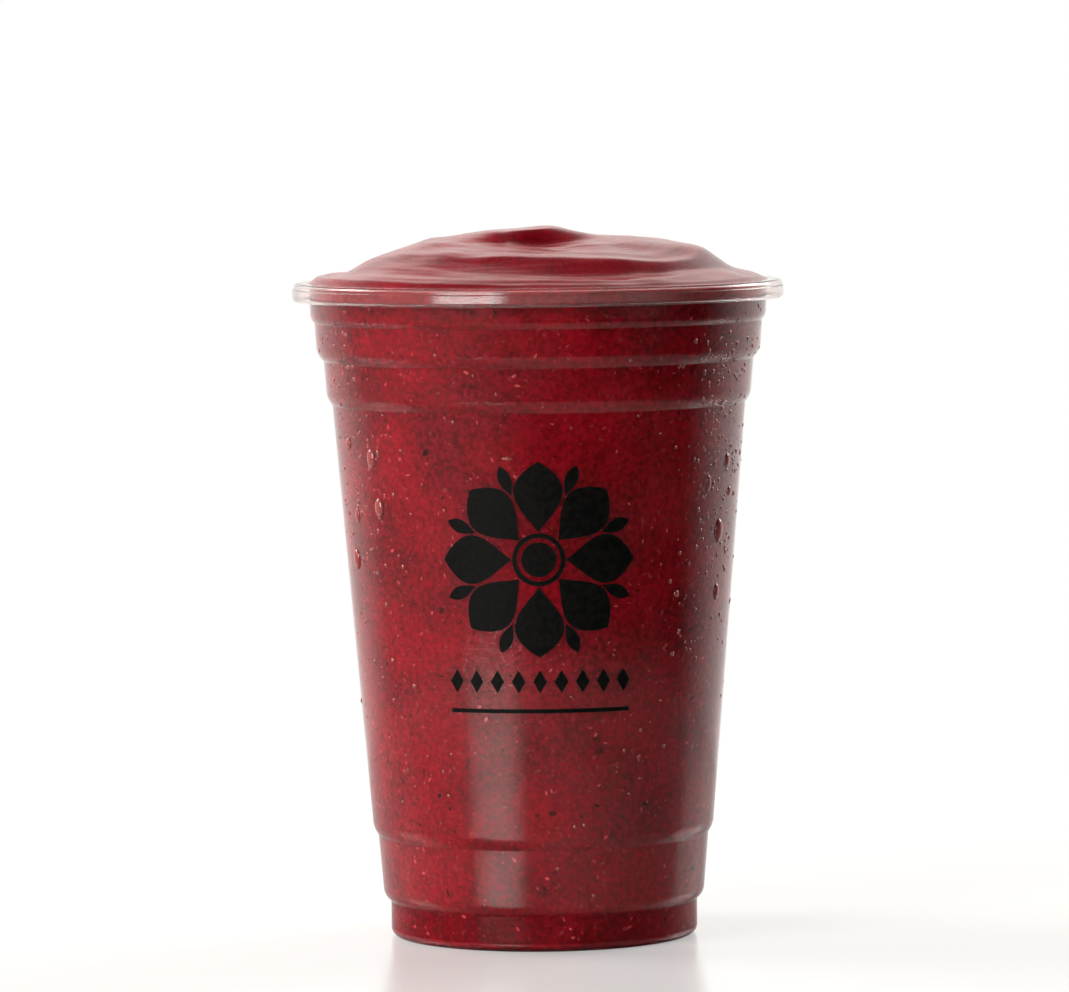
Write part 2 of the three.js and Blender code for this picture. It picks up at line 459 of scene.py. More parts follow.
@dataclass(frozen=True)
class PureeFinish(Finish):
    """Blended berries: deep red with fine pulp, paler flecks, darker clouds, and froth with a painted pale
    sheen on what lies level.
    """

    deep: Colour = (0.15, 0.0004, 0.0032, 1.0)
    bright: Colour = (0.58, 0.004, 0.022, 1.0)
    pale: Colour = (0.70, 0.10, 0.11, 1.0)
    shade: Colour = (0.07, 0.0003, 0.002, 1.0)
    # Pale froth colour, which also paints the sheen of the swirl's level faces.
    froth_and_sheen: Colour = (0.55, 0.055, 0.057, 1.0)
    cloud_scale: float = 60.0
    cloud_detail: float = 3.0
    cloud_range: Ramp = (0.35, 0.65)
    cloud_contrast: float = 0.3
    pulp_scale: float = 950.0
    pulp_detail: float = 2.5
    pulp_range: Ramp = (0.34, 0.66)
    pulp_contrast: float = 0.46
    fleck_scale: float = 640.0
    fleck_range: Ramp = (0.66, 0.73)
    fleck_strength: float = 0.3
    spot_range: Ramp = (0.28, 0.37)
    spot_strength: float = 0.55
    froth_and_sheen_strength: float = 0.0
    # Faces turned a little to the back get the most froth and painted sheen.
    sheen_lean: float = math.radians(5.0)
    froth_and_sheen_ramp: Ramp = (0.88, 0.98)
    bubble_scale: float = 190.0
    bubble_detail: float = 5.0
    bubble_range: Ramp = (0.3, 0.65)
    bubble_thinnest: float = 0.7
    roughness: float = 0.38
    shine: float = 0.5
    wetness: float = 0.0
    wet_roughness: float = 0.1
    subsurface: float = 0.7
    subsurface_depth: float = 0.004
    subsurface_radius: tuple[float, float, float] = (1.0, 0.12, 0.1)
    bump_strength: float = 0.35
    bump_depth: float = 0.0003

    def fruit(self, graph: NodeGraph, pulp: Socket) -> Socket:
        """Mixes the fruit's colours.

        Args:
            graph: The material's nodes.
            pulp: The strength of the fine pulp.

        Returns:
            The colour.
        """
        place = graph.place()
        middle = 0.5 * (1.0 - self.cloud_contrast - self.pulp_contrast)
        clouds = graph.noise(place, self.cloud_scale, self.cloud_detail)
        cloudy = graph.spread(clouds, *self.cloud_range, middle, middle + self.cloud_contrast)
        pulpy = graph.spread(pulp, *self.pulp_range, 0.0, self.pulp_contrast)
        body = graph.blend(graph.maths("ADD", cloudy, pulpy), self.deep, self.bright)
        scraps = graph.noise(place, self.fleck_scale)
        spots = graph.spread(scraps, *self.spot_range, self.spot_strength, 0.0)
        flecks = graph.spread(scraps, *self.fleck_range, 0.0, self.fleck_strength)
        return graph.blend(flecks, graph.blend(spots, body, self.shade), self.pale)

    def froth_and_sheen_share(self, graph: NodeGraph) -> Socket:
        """Finds where froth and a painted pale sheen lie: on what is nearly level, in a pattern of bubbles.

        Args:
            graph: The material's nodes.

        Returns:
            The share of the colour given to froth and painted sheen.
        """
        normal = graph.add("ShaderNodeNewGeometry").outputs["Normal"]
        facing = graph.add("ShaderNodeVectorMath", Vector=normal)
        facing.operation = "DOT_PRODUCT"
        facing.inputs[1].default_value = (0.0, math.sin(self.sheen_lean), math.cos(self.sheen_lean))
        level = graph.spread(facing.outputs["Value"], *self.froth_and_sheen_ramp)
        bubbles = graph.noise(graph.place(), self.bubble_scale, self.bubble_detail)
        thinnest = self.bubble_thinnest * self.froth_and_sheen_strength
        return graph.maths(
            "MULTIPLY", level, graph.spread(bubbles, *self.bubble_range, thinnest, self.froth_and_sheen_strength)
        )

    def shader(self, graph: NodeGraph) -> Socket:
        """Makes the shader.

        Args:
            graph: The material's nodes.

        Returns:
            The shader.
        """
        pulp = graph.noise(graph.place(), self.pulp_scale, self.pulp_detail)
        return graph.principled(
            # Froth and painted sheen over the fruit's colour on level faces.
            Base_Color=graph.blend(self.froth_and_sheen_share(graph), self.fruit(graph, pulp), self.froth_and_sheen),
            Roughness=self.roughness,
            Specular_IOR_Level=self.shine,
            Coat_Weight=self.wetness,
            Coat_Roughness=self.wet_roughness,
            Subsurface_Weight=self.subsurface,
            Subsurface_Radius=self.subsurface_radius,
            Subsurface_Scale=self.subsurface_depth,
            Normal=graph.bump(pulp, self.bump_strength, self.bump_depth),
        )


@dataclass(frozen=True)
class FloorFinish(Finish):
    """A pale, half-glossy table top that fades into the white backdrop at its edge."""

    name: str = "pale_floor"
    colour: Colour = (0.46, 0.455, 0.45, 1.0)
    roughness: float = 0.2
    glow: float = 0.34
    radius: float = 0.32
    fade: float = 0.1

    def shader(self, graph: NodeGraph) -> Socket:
        """Makes the shader.

        Args:
            graph: The material's nodes.

        Returns:
            The shader.
        """
        top = graph.principled(Base_Color=self.colour, Roughness=self.roughness)
        seen = graph.add("ShaderNodeLightPath").outputs["Is Camera Ray"]
        strength = graph.maths("MULTIPLY", seen, self.glow)
        glow = graph.add("ShaderNodeEmission", Color=WHITE, Strength=strength).outputs["Emission"]
        lit = graph.join("ShaderNodeAddShader", top, glow)
        distance = graph.add("ShaderNodeVectorMath", Vector=graph.place())
        distance.operation = "LENGTH"
        edge = graph.spread(distance.outputs["Value"], self.radius - self.fade, self.radius)
        bare = graph.add("ShaderNodeBsdfTransparent").outputs["BSDF"]
        return graph.join("ShaderNodeMixShader", edge, lit, bare)


@dataclass(frozen=True)
class Tier:
    """One tier of the cup's wall: its upper corner, and the line where its shoulder starts to turn in."""

    top_radius: float
    top_height: float
    low_radius: float
    low_height: float


@dataclass
class Cup:
    """The clear cup: a tapered shell in tiers, with a rolled rim, a foot and a raised floor."""

    height: float = 131.0
    rim_radius: float = 49.0
    rim_depth: float = 3.7
    ledge_drop: float = 1.25
    ledge_width: float = 0.25
    edge_round: float = 0.8
    lip_round: float = 1.2
    curl_end_radius: float = 46.9
    sheet: float = 0.5
    floor_sheet: float = 0.8
    tiers: tuple[Tier, ...] = (
        Tier(45.6, 128.0, 45.5, 124.8),
        Tier(44.7, 123.0, 44.4, 118.5),
        Tier(42.95, 115.4, 42.45, 109.7),
        Tier(41.25, 106.6, 34.2, 23.6),
        Tier(33.1, 20.4, 32.2, 9.8),
    )
    foot_radius: float = 30.7
    foot_height: float = 7.1
    foot_round: float = 1.6
    foot_ring_inner_radius: float = 27.4
    floor_radius: float = 25.6
    floor_raise: float = 2.6
    corner_round: float = 0.5
    brace: float = 0.05
    sharp_turn: float = math.radians(14.0)
    shoulder_steps: int = 8
    edge_steps: int = 6
    steps: int = 256

    @property
    def lip_centre(self) -> Vector:
        """The centre of the rounding at the rim's inner lip."""
        return Vector((self.tiers[0].top_radius - self.sheet + self.lip_round, self.height - self.lip_round))

    def shoulder(self, start: Vector, end: Vector) -> list[Vector]:
        """The arc that leaves an upright wall and turns in and down.

        Args:
            start: Where it leaves the wall.
            end: The upper corner of the tier below.

        Returns:
            The points after the start.
        """
        inward, down = start.x - end.x, start.y - end.y
        radius = (inward * inward + down * down) / (2.0 * inward)
        turn = math.atan2(down, radius - inward)
        return arc(Vector((start.x - radius, start.y)), radius, 0.0, -turn, self.shoulder_steps)[1:]

    def wall_outline(self, inset: float) -> list[Vector]:
        """The wall from under the rim down to the foot's upper corner.

        Args:
            inset: How far it is moved in.

        Returns:
            The points, from the top down.
        """
        first = self.tiers[0]
        points = [Vector((first.top_radius - inset, first.top_height))]
        corners = [(tier.top_radius, tier.top_height) for tier in self.tiers[1:]]
        corners.append((self.foot_radius, self.foot_height))
        for tier, (radius, height) in zip(self.tiers, corners):
            low = Vector((tier.low_radius - inset, tier.low_height))
            points += [low, *self.shoulder(low, Vector((radius - inset, height)))]
        return points

    def rim_outline(self) -> list[Vector]:
        """The rolled rim, from the wall's outer face round the curl's free end and over to its inner face.

        Returns:
            The points.
        """
        quarter, steps = math.pi / 2.0, self.edge_steps
        outer, hollow = self.edge_round, self.edge_round - self.sheet
        foot, ledge = self.height - self.rim_depth, self.height - self.ledge_drop
        bead = self.rim_radius - self.ledge_width
        upper = Vector((bead - outer, self.height - outer))
        return [
            *arc(self.lip_centre, self.lip_round - self.sheet, math.pi, quarter, steps),
            *arc(upper, hollow, quarter, 0.0, steps),
            *arc(Vector((bead - outer, foot + outer)), hollow, 0.0, -quarter, steps),
            Vector((self.curl_end_radius, foot + self.sheet)),
            Vector((self.curl_end_radius, foot)),
            *arc(Vector((self.rim_radius - outer, foot + outer)), outer, -quarter, 0.0, steps),
            Vector((self.rim_radius, ledge)),
            Vector((bead, ledge)),
            *arc(upper, outer, 0.0, quarter, steps),
            *arc(self.lip_centre, self.lip_round, quarter, math.pi, steps),
        ]

    def underside_outline(self) -> list[Vector]:
        """The raised floor, the ring the foot stands on and the foot's corner, from the axis outwards."""
        centre = Vector((self.foot_radius - self.foot_round, self.foot_round))
        return [
            Vector((0.0, self.floor_raise)),
            Vector((self.floor_radius, self.floor_raise)),
            Vector((self.foot_ring_inner_radius, 0.0)),
            *arc(centre, self.foot_round, -math.pi / 2.0, 0.0, self.edge_steps),
        ]

    def floor_outline(self, inset: float) -> list[Vector]:
        """The inside of the foot: the raised floor, the slope into the ring's channel and its corner.

        Args:
            inset: How far it is moved in from the cup's inner face.

        Returns:
            The points, from the axis outwards.
        """
        sheet = self.floor_sheet + inset
        run = self.foot_ring_inner_radius - self.floor_radius
        shift = sheet * (math.hypot(run, self.floor_raise) - run) / self.floor_raise
        foot = self.foot_radius - self.sheet - inset
        rounding = self.foot_round - self.sheet - inset
        corner = Vector((foot - rounding, sheet + rounding))
        return [
            Vector((0.0, self.floor_raise + sheet)),
            Vector((self.floor_radius + shift, self.floor_raise + sheet)),
            Vector((self.foot_ring_inner_radius + shift, sheet)),
            *arc(corner, rounding, -math.pi / 2.0, 0.0, self.edge_steps),
        ]

    @cached_property
    def outer_wall(self) -> list[Vector]:
        """The wall's outer face with its corners rounded, from the foot up to the rim."""
        foot = Vector((self.foot_radius, self.foot_round))
        outline = [foot, *reversed(self.wall_outline(0.0))]
        return softened(outline, self.corner_round, self.sharp_turn, self.edge_steps)

    def radius_at(self, height: float) -> float:
        """The outer wall's distance from the axis at a height.

        Args:
            height: The height, between the foot and the rim.

        Returns:
            The distance.
        """
        for low, high in zip(self.outer_wall, self.outer_wall[1:]):
            if low.y <= height <= high.y:
                return mix(low.x, high.x, (height - low.y) / max(high.y - low.y, MERGE_DISTANCE))
        return self.outer_wall[-1].x

    def on_wall(self, azimuth: float, level: float, depth: float = 0.0) -> Matrix:
        """A place on the wall, with its own axes to the right, up the wall and out of it.

        Args:
            azimuth: The angle to the right of the front, in degrees.
            level: The height.
            depth: How far the place lies inside the outer face.

        Returns:
            The place and its axes.
        """
        turn, nudge = math.radians(azimuth), 0.1
        right = Vector((math.cos(turn), math.sin(turn), 0.0))
        out = Vector((math.sin(turn), -math.cos(turn), 0.0))
        lean = (self.radius_at(level + nudge) - self.radius_at(level - nudge)) / (2.0 * nudge)
        up = (Vector((0.0, 0.0, 1.0)) + lean * out).normalized()
        facing = right.cross(up)
        spot = self.radius_at(level) * out + Vector((0.0, 0.0, level)) - depth * facing
        return Matrix.Translation(spot) @ Matrix((right, up, facing)).transposed().to_4x4()

    def zone(self, spot: Vector) -> int:
        """The number of the material at a place.

        Args:
            spot: The place.

        Returns:
            0 on the wall, 1 on the foot and 2 on the rolled rim.
        """
        past_wall = math.hypot(spot.x, spot.y) > self.tiers[0].top_radius
        if past_wall and spot.z > self.height - self.rim_depth:
            return 2
        return int(self.foot_round < spot.z < self.foot_height)

    def build(self, plastic: Material, foot_plastic: Material, rim_plastic_painted_glow: Material) -> Piece:
        """Makes the cup's shell.

        Args:
            plastic: The wall's material.
            foot_plastic: The foot's material.
            rim_plastic_painted_glow: The rolled rim's material.

        Returns:
            The piece, which stands for the cup's solid.
        """
        outline = [
            *self.underside_outline(),
            *reversed(self.wall_outline(0.0)),
            *self.rim_outline(),
            *self.wall_outline(self.sheet),
            *reversed(self.floor_outline(0.0)),
        ]
        outline = softened(outline, self.corner_round, self.sharp_turn, self.edge_steps)
        shell = turned(braced(outline, self.brace), self.steps)
        for face in shell.faces:
            face.material_index = self.zone(face.calc_center_median())
        piece = finished(shell, "cup_shell", Slot.CLEAR_PLASTIC, plastic, foot_plastic, rim_plastic_painted_glow)
        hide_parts(Node.CUP.value)
        return piece


@dataclass(frozen=True)
class Compass:
    """A size of the heap on its left, at its front, on its right and at its back."""

    left: float
    front: float
    right: float
    back: float

    def at(self, across: float, behind: float) -> float:
        """The size on its smooth way round the heap.

        Args:
            across: The direction's part to the right.
            behind: The direction's part to the back.

        Returns:
            The size in that direction.
        """
        mean = (self.left + self.right + self.front + self.back) / 4.0
        sides = (self.right - self.left) / 2.0 * across
        depth = (self.back - self.front) / 2.0 * behind
        oval = (self.left + self.right - self.front - self.back) / 4.0
        return mean + sides + depth + oval * (across * across - behind * behind)


@dataclass(frozen=True)
class Fold:
    """A low rounded ridge where the drink laps over itself, on its winding way round a part of the heap."""

    radius: float
    winding: float
    azimuth: float
    span: float
    width: float
    height: float
    sway: float = 0.8
    sways: float = 3.0

    def at(self, azimuth: float, r: float) -> float:
        """The ridge's height.

        Args:
            azimuth: The angle to the right of the front, in degrees.
            r: The distance from the axis.

        Returns:
            The height.
        """
        along = (azimuth - self.azimuth + 180.0) % 360.0 - 180.0
        wander = self.sway * math.sin(math.radians(self.sways * along) + self.radius)
        line = self.radius + self.winding * along / QUARTER_DEGREES + wander
        across = (r - line) / self.width
        return self.height * math.exp(-across * across - (along / self.span) ** 2)


@dataclass
class Swirl:
    """The heap over the brim: a sloping skirt, a step up to a domed terrace and a small step to its peak."""

    brim_radius: float = 45.79
    brim_roll: float = 2.4
    skirt_slope: Compass = Compass(0.225, 0.135, 0.33, 0.26)
    brim_bead: Compass = Compass(0.7, 0.0, 0.0, 0.3)
    step_radius: Compass = Compass(27.5, 33.0, 35.5, 31.5)
    step_width: Compass = Compass(12.0, 6.5, 8.5, 9.0)
    step_wave: float = 0.9
    step_waves: int = 3
    step_wave_start: float = 0.6
    terrace_height: Compass = Compass(9.5, 7.25, 9.1, 9.1)
    terrace_fall: Compass = Compass(0.0033, 0.0023, 0.0026, 0.0026)
    peak_step_radius: Compass = Compass(15.0, 8.2, 8.5, 10.5)
    peak_step_width: Compass = Compass(12.0, 4.8, 9.5, 9.0)
    peak_height: float = 10.65
    peak_slope: float = 0.115
    peak_offset: float = 1.0
    peak_round: float = 4.0
    soft_widening: float = 9.0
    soft_steepening: float = 0.11
    sag_depth: float = 1.7
    sag_tightening: float = 3.2
    sag_angle: float = math.radians(55.0)
    sag_narrowness: int = 10
    sag_start: float = 15.0
    sag_end: float = 34.0
    folds: tuple[Fold, ...] = (
        Fold(24.0, 2.0, -8.0, 36.0, 1.3, 0.34),
        Fold(29.0, -6.0, -52.0, 30.0, 2.2, 0.36),
        Fold(37.0, 4.0, -42.0, 28.0, 1.8, 0.26),
        Fold(41.5, 3.0, -8.0, 44.0, 1.2, 0.20),
        Fold(21.0, -4.0, -72.0, 28.0, 2.0, 0.34),
        Fold(39.5, -5.0, 38.0, 34.0, 1.6, 0.22),
        Fold(27.0, 5.0, 55.0, 30.0, 1.8, 0.26),
        Fold(33.5, -5.0, -88.0, 22.0, 2.2, 0.22),
        Fold(17.5, 4.0, 30.0, 34.0, 1.5, 0.20),
        Fold(38.0, 5.0, 110.0, 34.0, 1.9, 0.30),
        Fold(26.0, -5.0, 140.0, 36.0, 2.0, 0.34),
        Fold(36.0, -6.0, -140.0, 38.0, 2.0, 0.34),
        Fold(22.0, 4.0, -120.0, 34.0, 1.8, 0.30),
        Fold(41.0, 3.0, 175.0, 40.0, 1.4, 0.24),
        Fold(38.5, 0.0, -92.0, 34.0, 4.2, -1.6),
        Fold(37.0, 0.0, 92.0, 26.0, 3.0, -0.9),
        Fold(6.0, 0.0, 90.0, 60.0, 3.0, -0.5),
        Fold(12.0, 3.0, -42.0, 40.0, 1.8, 0.5),
        Fold(32.5, 1.0, 48.0, 30.0, 1.7, 0.35),
        Fold(30.0, 0.0, -14.0, 20.0, 1.8, 0.5),
    )
    fold_softness: float = 0.7
    lump_height: float = 0.32
    lump_length: float = 9.0
    streak_height: float = 0.045
    streak_width: float = 1.3
    streaks_round: float = 5.0
    streak_start: float = 4.0
    streak_end: float = 16.0
    relief_fade: float = 4.0

    def relief(self, x: float, y: float) -> float:
        """The folds, lumps and streaks on the heap's surface.

        Args:
            x: Distance to the right of the axis.
            y: Distance behind the axis.

        Returns:
            Their height.
        """
        r = max(math.hypot(x, y), MERGE_DISTANCE)
        azimuth = math.degrees(math.atan2(x, -y))
        folds = self.fold_softness * sum(fold.at(azimuth, r) for fold in self.folds)
        lumps = self.lump_height * noise.noise(Vector((x, y, 0.0)) / self.lump_length)
        round_way = Vector((self.streaks_round * x / r, self.streaks_round * y / r, r / self.streak_width))
        begun = smoothstep(r, self.streak_start, self.streak_end)
        streaks = self.streak_height * noise.noise(round_way) * begun
        return (folds + lumps + streaks) * smoothstep(self.brim_radius - r, 0.0, self.relief_fade)

    def height(self, x: float, y: float) -> float:
        """How far the heap's surface stands over the brim.

        Args:
            x: Distance to the right of the axis.
            y: Distance behind the axis.

        Returns:
            The height.
        """
        r = math.hypot(x, y)
        across, behind = (x / r, y / r) if r > 0.0 else (0.0, 0.0)

        def at(size: Compass) -> float:
            """Returns a size of the heap in this direction."""
            return size.at(across, behind)

        soft = max(0.0, -(across + behind) / math.sqrt(2.0)) ** 2
        wave = self.step_wave * math.sin(self.step_waves * math.atan2(y, x) + self.step_wave_start)
        bead = at(self.brim_bead) * smoothstep(self.brim_radius - r, 0.0, self.brim_roll)
        slope = at(self.skirt_slope) + self.soft_steepening * soft
        skirt = bead + slope * (self.brim_radius - r)
        facing = max(0.0, across * math.sin(self.sag_angle) - behind * math.cos(self.sag_angle))
        sagging = facing ** self.sag_narrowness
        sag = self.sag_depth * sagging * smoothstep(r, self.sag_start, self.sag_end)
        terrace = at(self.terrace_height) - at(self.terrace_fall) * r * r - sag
        from_peak = math.hypot(x - self.peak_offset, y, self.peak_round) - self.peak_round
        peak = self.peak_height - self.peak_slope * from_peak
        on_peak = self.risen(r, at(self.peak_step_radius), at(self.peak_step_width))
        width = at(self.step_width) + self.soft_widening * soft - self.sag_tightening * sagging
        on_terrace = self.risen(r, at(self.step_radius) + wave, width)
        return mix(skirt, mix(terrace, peak, on_peak), on_terrace) + self.relief(x, y)

    def risen(self, r: float, radius: float, width: float) -> float:
        """Returns how much of a step's rise is done at a distance from the axis."""
        return 1.0 - smoothstep(r, radius - width / 2.0, radius + width / 2.0)


@dataclass
class Smoothie:
    """The drink: it fills the cup into the sheet's inner face, and its swirl stands over the brim."""

    cup: Cup
    swirl: Swirl = field(default_factory=Swirl)
    reach: float = 0.12
    lip_overlap: float = 0.05
    brim_turn: float = math.radians(110.0)
    brim_height: float = 131.2
    brim_settle: float = 2.0
    rings: int = 170
    steps: int = 320

    def zone(self, level: float, brim: float) -> int:
        """The number of the material at a height.

        Args:
            level: The height.
            brim: The height where the open swirl starts.

        Returns:
            0 behind the wall, 1 on the swirl, 2 in the foot, where a darker copy of the puree paints shade,
            and 3 behind the rolled rim, where a lighter copy paints light.
        """
        if level > brim:
            return 1
        if self.cup.foot_round < level < self.cup.foot_height:
            return 2
        return 3 if level > self.cup.height - self.cup.rim_depth else 0

    def build(self, *materials: Material) -> Piece:
        """Makes the drink.

        Args:
            materials: The materials behind the wall, on the swirl, in the foot and behind the rolled rim.

        Returns:
            The piece, which stands for the drink's solid.
        """
        cup, inset = self.cup, self.cup.sheet - self.reach
        lip = arc(cup.lip_centre, cup.lip_round - self.lip_overlap, math.pi, self.brim_turn, cup.edge_steps)
        brim = lip[-1]
        level = [Vector((brim.x * (1.0 - i / self.rings), brim.y)) for i in range(1, self.rings + 1)]
        below = [*cup.floor_outline(-self.reach), *reversed(cup.wall_outline(inset)), *lip]
        drink = turned(softened(below, cup.corner_round, cup.sharp_turn, cup.edge_steps) + level, self.steps)
        scale = self.swirl.brim_radius / brim.x
        for vert in drink.verts:
            if abs(vert.co.z - brim.y) < MERGE_DISTANCE:
                x, y = vert.co.x * scale, vert.co.y * scale
                rise = smoothstep(self.swirl.brim_radius - math.hypot(x, y), 0.0, self.brim_settle)
                vert.co.z += rise * (self.brim_height - brim.y) + self.swirl.height(x, y)
        for face in drink.faces:
            face.material_index = self.zone(face.calc_center_median().z, brim.y)
        piece = finished(drink, "smoothie_fill", Slot.BERRY_SMOOTHIE, *materials)
        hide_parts(Node.SMOOTHIE.value)
        return piece


@dataclass(frozen=True)
class Bead:
    """One drop or scrap on the wall: where it is, and its size."""

    azimuth: float
    level: float
    width: float
    height: float


# The largest dark scraps of skin at the front.
DARK_SKINS = (
    Bead(-2.0, 27.5, 1.1, 0.9),
    Bead(3.0, 27.9, 1.9, 1.0),
    Bead(18.1, 40.0, 1.7, 1.4),
    Bead(35.5, 28.9, 2.0, 1.0),
    Bead(46.3, 30.3, 1.3, 0.8),
    Bead(-36.0, 31.0, 0.9, 1.0),
    Bead(-32.3, 28.5, 0.6, 0.9),
)


@dataclass
class Scraps:
    """Small scraps of one kind of fruit that show where the drink touches the wall."""

    name: str
    count: int
    shortest: float
    longest: float
    slimness: float
    thickness: float
    seed: int
    largest: tuple[Bead, ...] = ()
    fullness: float = 0.65
    lowest: float = 2.5
    highest: float = 127.0
    smallness: float = 2.5
    segments: int = 7
    rings: int = 4

    def build(self, drink: Smoothie, flesh: Material) -> Piece:
        """Scatters the scraps over the drink's side.

        Args:
            drink: The drink.
            flesh: Their material.

        Returns:
            The piece.
        """
        chance = random.Random(self.seed)
        cup, depth = drink.cup, drink.cup.sheet - drink.reach
        places = []
        for scrap in self.largest:
            size = Matrix.Diagonal((scrap.width / 2.0, scrap.height / 2.0, self.thickness, 1.0))
            places.append(cup.on_wall(scrap.azimuth, scrap.level, depth) @ size)
        for _ in range(self.count):
            level = chance.uniform(self.lowest, self.highest)
            spot = cup.on_wall(chance.uniform(-180.0, 180.0), level, depth)
            length = mix(self.shortest, self.longest, chance.random() ** self.smallness) / 2.0
            width = length * mix(self.slimness, self.fullness, chance.random())
            turn = Matrix.Rotation(chance.uniform(0.0, math.pi), 4, "Z")
            places.append(spot @ turn @ Matrix.Diagonal((length, width, self.thickness, 1.0)))
        pattern = bmesh.new()
        bmesh.ops.create_uvsphere(pattern, u_segments=self.segments, v_segments=self.rings, radius=1.0)
        return finished(repeated(pattern, places), self.name, Slot.BERRY_SMOOTHIE, flesh)


@dataclass(frozen=True)
class Patch:
    """A patch of the wall that carries fine dew."""

    azimuth: float
    azimuth_spread: float
    level: float
    level_spread: float
    count: int


@dataclass
class Dew:
    """Drops on the cold wall: some large beads, and fine drops in patches."""

    cup: Cup
    beads: tuple[Bead, ...] = (
        Bead(-55.0, 97.0, 2.4, 4.0),
        Bead(-53.0, 87.4, 2.4, 3.8),
        Bead(-69.7, 76.6, 2.6, 4.2),
        Bead(-68.0, 99.6, 1.8, 2.4),
        Bead(-66.0, 85.4, 1.8, 3.0),
        Bead(-9.0, 97.8, 2.2, 0.8),
        Bead(63.9, 81.8, 2.8, 4.8),
        Bead(66.5, 95.6, 1.9, 3.0),
        Bead(56.0, 91.5, 1.5, 3.2),
        Bead(65.2, 69.6, 2.0, 3.4),
        Bead(70.0, 89.4, 1.5, 2.0),
        Bead(44.0, 70.2, 1.2, 1.4),
        Bead(118.0, 90.0, 2.4, 3.6),
        Bead(151.0, 74.0, 2.2, 3.4),
        Bead(-122.0, 84.0, 2.4, 3.6),
        Bead(-160.0, 98.0, 2.0, 2.8),
    )
    patches: tuple[Patch, ...] = (
        Patch(-63.0, 9.0, 90.0, 12.0, 220),
        Patch(-66.0, 8.0, 114.0, 6.0, 90),
        Patch(63.0, 9.0, 94.0, 13.0, 520),
        Patch(60.0, 9.0, 114.0, 7.0, 140),
        Patch(58.0, 10.0, 66.0, 9.0, 110),
        Patch(-52.0, 16.0, 55.0, 18.0, 110),
        Patch(30.0, 14.0, 30.0, 12.0, 40),
        Patch(-10.0, 24.0, 106.0, 7.0, 40),
        Patch(140.0, 26.0, 86.0, 20.0, 420),
        Patch(-140.0, 26.0, 82.0, 20.0, 420),
    )
    smallest: float = 0.2
    largest: float = 0.95
    bulge: float = 0.5
    sink: float = 0.03
    lowest: float = 9.0
    highest: float = 126.0
    bare_azimuth: float = 34.0
    bare_lowest: float = 46.0
    bare_highest: float = 99.0
    smallness: float = 1.8
    roundest: float = 0.9
    longest: float = 1.5
    bead_fineness: int = 4
    mist_fineness: int = 2
    seed: int = 11

    def dome(self, fineness: int) -> Mesh:
        """Makes a round drop of radius 1 that is cut flat where it meets the wall.

        Args:
            fineness: How often the drop's faces are split.

        Returns:
            The closed drop.
        """
        drop = bmesh.new()
        bmesh.ops.create_icosphere(drop, subdivisions=fineness, radius=1.0)
        whole = [*drop.verts, *drop.edges, *drop.faces]
        bmesh.ops.bisect_plane(
            drop, geom=whole, dist=MERGE_DISTANCE, plane_co=(0, 0, 0), plane_no=(0, 0, 1), clear_inner=True
        )
        bmesh.ops.contextual_create(drop, geom=[edge for edge in drop.edges if edge.is_boundary])
        return drop

    def sat(self, azimuth: float, level: float, width: float, height: float) -> Matrix:
        """Returns the place and size of a drop on the wall."""
        size = Matrix.Diagonal((width / 2.0, height / 2.0, self.bulge * width / 2.0, 1.0))
        return self.cup.on_wall(azimuth, level, self.sink) @ size

    def build(self, water: Material) -> list[Piece]:
        """Makes the drops.

        Args:
            water: Their material.

        Returns:
            The piece with the beads and the piece with the fine dew.
        """
        large = [self.sat(bead.azimuth, bead.level, bead.width, bead.height) for bead in self.beads]
        chance = random.Random(self.seed)
        small = []
        for patch in self.patches:
            for _ in range(patch.count):
                azimuth = chance.gauss(patch.azimuth, patch.azimuth_spread)
                level = min(max(chance.gauss(patch.level, patch.level_spread), self.lowest), self.highest)
                width = self.smallest * (self.largest / self.smallest) ** (chance.random() ** self.smallness)
                height = width * chance.uniform(self.roundest, self.longest)
                on_print = abs(azimuth) < self.bare_azimuth and self.bare_lowest < level < self.bare_highest
                if not on_print:
                    small.append(self.sat(azimuth, level, width, height))
        return [
            finished(repeated(self.dome(self.bead_fineness), large), "dew_beads", Slot.CLEAR_PLASTIC, water),
            finished(repeated(self.dome(self.mist_fineness), small), "dew_mist", Slot.CLEAR_PLASTIC, water),
        ]


